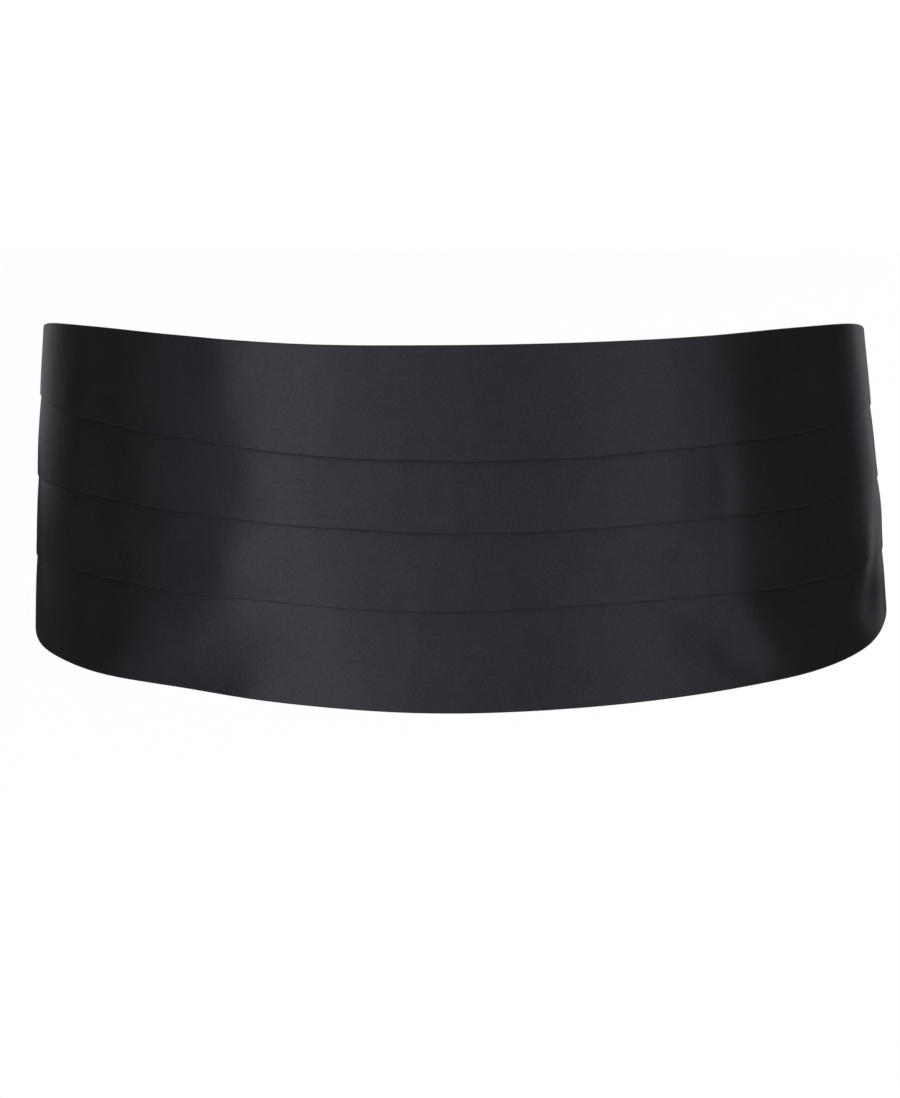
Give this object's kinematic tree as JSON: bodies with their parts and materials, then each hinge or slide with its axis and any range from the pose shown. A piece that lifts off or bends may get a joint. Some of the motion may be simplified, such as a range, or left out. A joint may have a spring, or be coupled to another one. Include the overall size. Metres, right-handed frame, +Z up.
{
  "type": "cummerbund",
  "caption": "Black satin evening cummerbund with downward knife pleats across the front, worn closed round the waist, with webbing straps and a hook slide at the back.",
  "frame": {"origin": "on the waist's vertical axis, at the height of the middle pleat's folded edge at the centre of the front", "axes": "+Z up the body as worn, -Y towards the front (the pleated side), +X to the right of someone who faces the front"},
  "size_m": [0.3212, 0.2278, 0.1348],
  "materials": {
    "satin": "black polyester satin, a soft anisotropic sheen with a slight blue-violet cast",
    "webbing": "matt black woven webbing with fine ribs",
    "black_metal": "black enamelled steel, semi-gloss"
  },
  "bodies": {
    "root": {"pleated_front": "satin", "slide_strap": "webbing", "ring_strap": "webbing", "hook_slide": "black_metal", "ring": "black_metal"}
  },
  "joints": []
}
